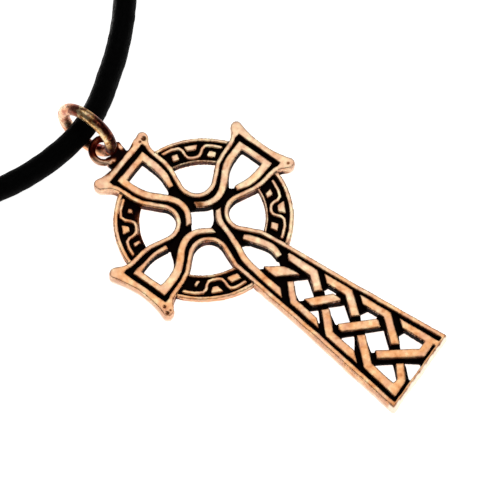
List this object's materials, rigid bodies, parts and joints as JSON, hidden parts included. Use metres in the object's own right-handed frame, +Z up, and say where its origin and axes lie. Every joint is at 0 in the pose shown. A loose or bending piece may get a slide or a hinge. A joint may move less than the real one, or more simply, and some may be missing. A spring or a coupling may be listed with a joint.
{
  "type": "celtic cross pendant on a neck cord",
  "caption": "Cast copper ringed cross with a pierced plait, on a jump ring and a round black neck cord.",
  "frame": {"origin": "under the middle of the cross and jump ring together, on the surface that they lie on", "axes": "+Y from the foot of the shaft to the loop and the jump ring, +X to the right of the cross seen from the front, +Z up out of the face of the cross"},
  "size_m": [0.1338, 0.2122, 0.0088],
  "materials": {
    "cast_copper": "copper casting, bright on the raised bands and blackened in the sunk ground",
    "copper_wire": "thick copper wire, polished",
    "black_cord": "matt black round cord",
    "barrel_copper": "dark copper barrel, satin"
  },
  "bodies": {
    "root": {"cross": "cast_copper", "jump_ring": "copper_wire", "neck_cord": "black_cord", "clasp": "barrel_copper"}
  },
  "joints": []
}
